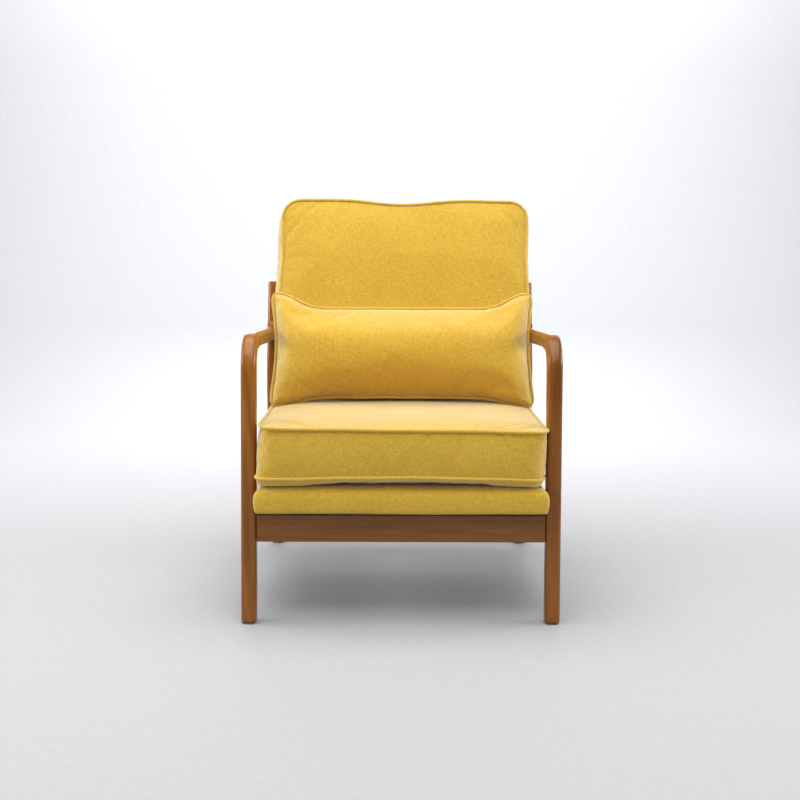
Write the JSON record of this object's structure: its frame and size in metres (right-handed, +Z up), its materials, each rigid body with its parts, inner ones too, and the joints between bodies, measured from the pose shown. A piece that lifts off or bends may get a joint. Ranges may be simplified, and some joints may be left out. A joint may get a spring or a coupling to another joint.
{
  "type": "armchair",
  "caption": "Wooden lounge armchair: bent front legs flow into slim armrests, splayed rear posts, upholstered seat platform, loose piped seat and back cushions and a lumbar pillow.",
  "frame": {"origin": "on the floor, in the middle of the chair's box", "axes": "+Z up; the chair faces -Y, so +Y points to its back; +X is to the right of someone who looks at its front"},
  "size_m": [0.632, 0.6925, 0.845],
  "materials": {
    "stained_wood": "satin",
    "dark_stained_wood": "satin",
    "plywood": "matte",
    "mustard_fabric": "matte",
    "black_lining": "matte",
    "steel": "satin",
    "grey_glide": "matte"
  },
  "bodies": {
    "frame": {"front_leg_left": "stained_wood", "front_leg_right": "stained_wood", "armrest_left": "stained_wood", "armrest_right": "stained_wood", "rear_post_left": "stained_wood", "rear_post_right": "stained_wood", "side_rail_left": "stained_wood", "side_rail_right": "stained_wood", "back_top_rail": "stained_wood", "back_slat_upper": "stained_wood", "back_slat_lower": "stained_wood", "front_rail": "dark_stained_wood", "rear_rail": "dark_stained_wood", "centre_stretcher": "dark_stained_wood", "platform_board": "plywood", "corner_block_front_left": "plywood", "corner_block_front_right": "plywood", "corner_block_rear_left": "plywood", "corner_block_rear_right": "plywood", "arm_front_dowel_left": "plywood", "arm_front_dowel_right": "plywood", "arm_rear_dowel_left": "plywood", "arm_rear_dowel_right": "plywood", "side_front_dowel_left": "plywood", "side_front_dowel_right": "plywood", "side_rear_dowel_left": "plywood", "side_rear_dowel_right": "plywood", "front_bolt_left": "steel", "front_bolt_right": "steel", "rear_bolt_left": "steel", "rear_bolt_right": "steel", "front_barrel_nut_left": "steel", "front_barrel_nut_right": "steel", "rear_barrel_nut_left": "steel", "rear_barrel_nut_right": "steel", "platform_screw_front_left": "steel", "platform_screw_front_right": "steel", "platform_screw_rear_left": "steel", "platform_screw_rear_right": "steel", "front_glide_left": "grey_glide", "front_glide_right": "grey_glide", "rear_glide_left": "grey_glide", "rear_glide_right": "grey_glide", "dust_cover": "black_lining", "platform_pad": "mustard_fabric"},
    "seat_cushion": {"seat_cushion": "mustard_fabric"},
    "back_cushion": {"back_cushion": "mustard_fabric"},
    "lumbar_pillow": {"lumbar_pillow": "mustard_fabric"}
  },
  "joints": [
    {"name": "seat_cushion_lift", "type": "slide", "parent": "frame", "child": "seat_cushion", "axis": [0, 0, 1], "range_m": [0, 0.31]},
    {"name": "back_cushion_lift", "type": "slide", "parent": "seat_cushion", "child": "back_cushion", "axis": [0, 0.225, 0.9744], "range_m": [0, 0.29]},
    {"name": "lumbar_pillow_lift", "type": "slide", "parent": "seat_cushion", "child": "lumbar_pillow", "axis": [0, 0, 1], "range_m": [0, 0.2]}
  ]
}
